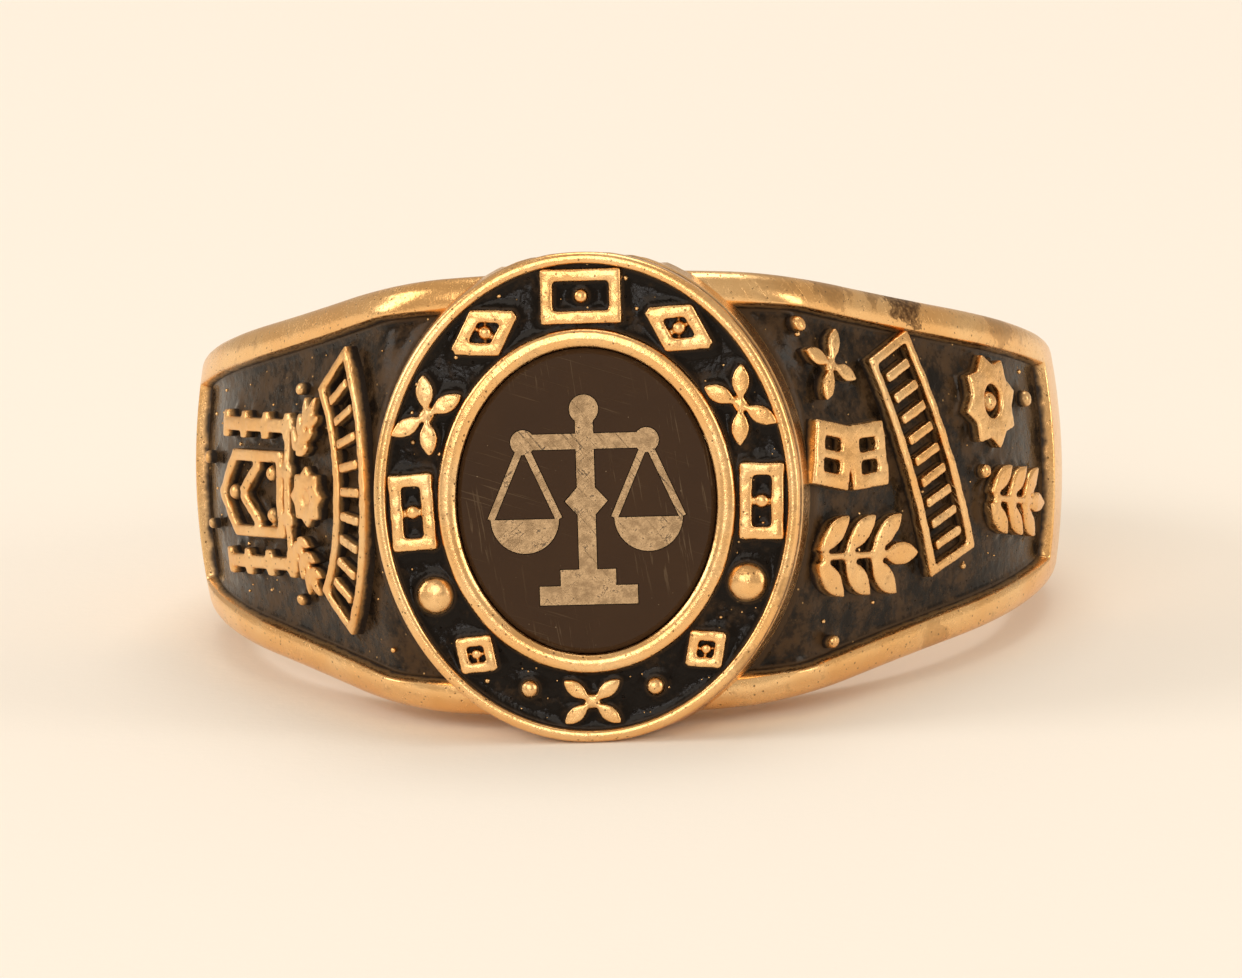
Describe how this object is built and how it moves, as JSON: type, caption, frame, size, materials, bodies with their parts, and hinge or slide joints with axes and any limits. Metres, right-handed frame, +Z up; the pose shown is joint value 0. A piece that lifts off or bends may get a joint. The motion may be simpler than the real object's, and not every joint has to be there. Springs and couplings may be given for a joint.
{
  "type": "class ring",
  "caption": "Gold class ring with an oval head, a flat black stone, black enamel panels and raised plain ornaments on head and shoulders.",
  "frame": {"origin": "on the surface that the ring lies on, below the middle of its bounding box", "axes": "-Y towards the head, whose face looks 9.6 degrees above the horizon; +Z up; the finger's axis lies in the YZ plane, 9.6 degrees from +Z towards +Y"},
  "size_m": [0.0212, 0.0238, 0.0114],
  "materials": {
    "gold": "polished yellow gold with fine wear scratches and dark crevices",
    "inlay_gold": "matt gold inlay",
    "onyx": "polished black stone with fine scratches",
    "black_enamel": "glossy black enamel"
  },
  "bodies": {
    "root": {"ring_casting": "gold", "stone": "onyx", "stone_inlay": "inlay_gold", "head_enamel": "black_enamel", "left_enamel": "black_enamel", "right_enamel": "black_enamel"}
  },
  "joints": []
}
